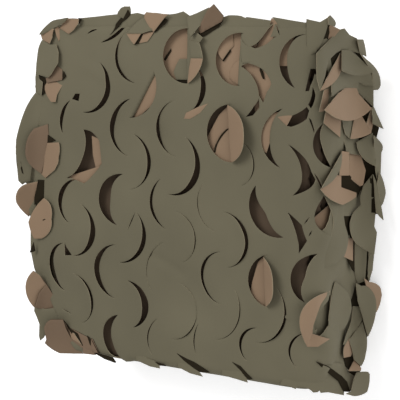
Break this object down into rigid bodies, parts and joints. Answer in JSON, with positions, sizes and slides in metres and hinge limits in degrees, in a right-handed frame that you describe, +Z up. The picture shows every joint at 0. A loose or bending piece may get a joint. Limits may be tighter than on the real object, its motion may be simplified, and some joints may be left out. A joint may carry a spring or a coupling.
{
  "type": "folded camouflage net",
  "caption": "Camouflage net of two-sided olive and brown cloth, die-cut with rows of round leaf shapes and folded into a square packet.",
  "frame": {"origin": "centre of the packet's footprint, on the surface it rests on", "axes": "+Z up, out of the packet's top face; +Y towards the end of the face that is uppermost in the view; +X towards the side with the wrapped edge, away from the free folded edges"},
  "size_m": [0.3821, 0.3725, 0.1399],
  "materials": {
    "olive_cloth": "matte"
  },
  "bodies": {
    "root": {"net_sheet": "olive_cloth"}
  },
  "joints": []
}
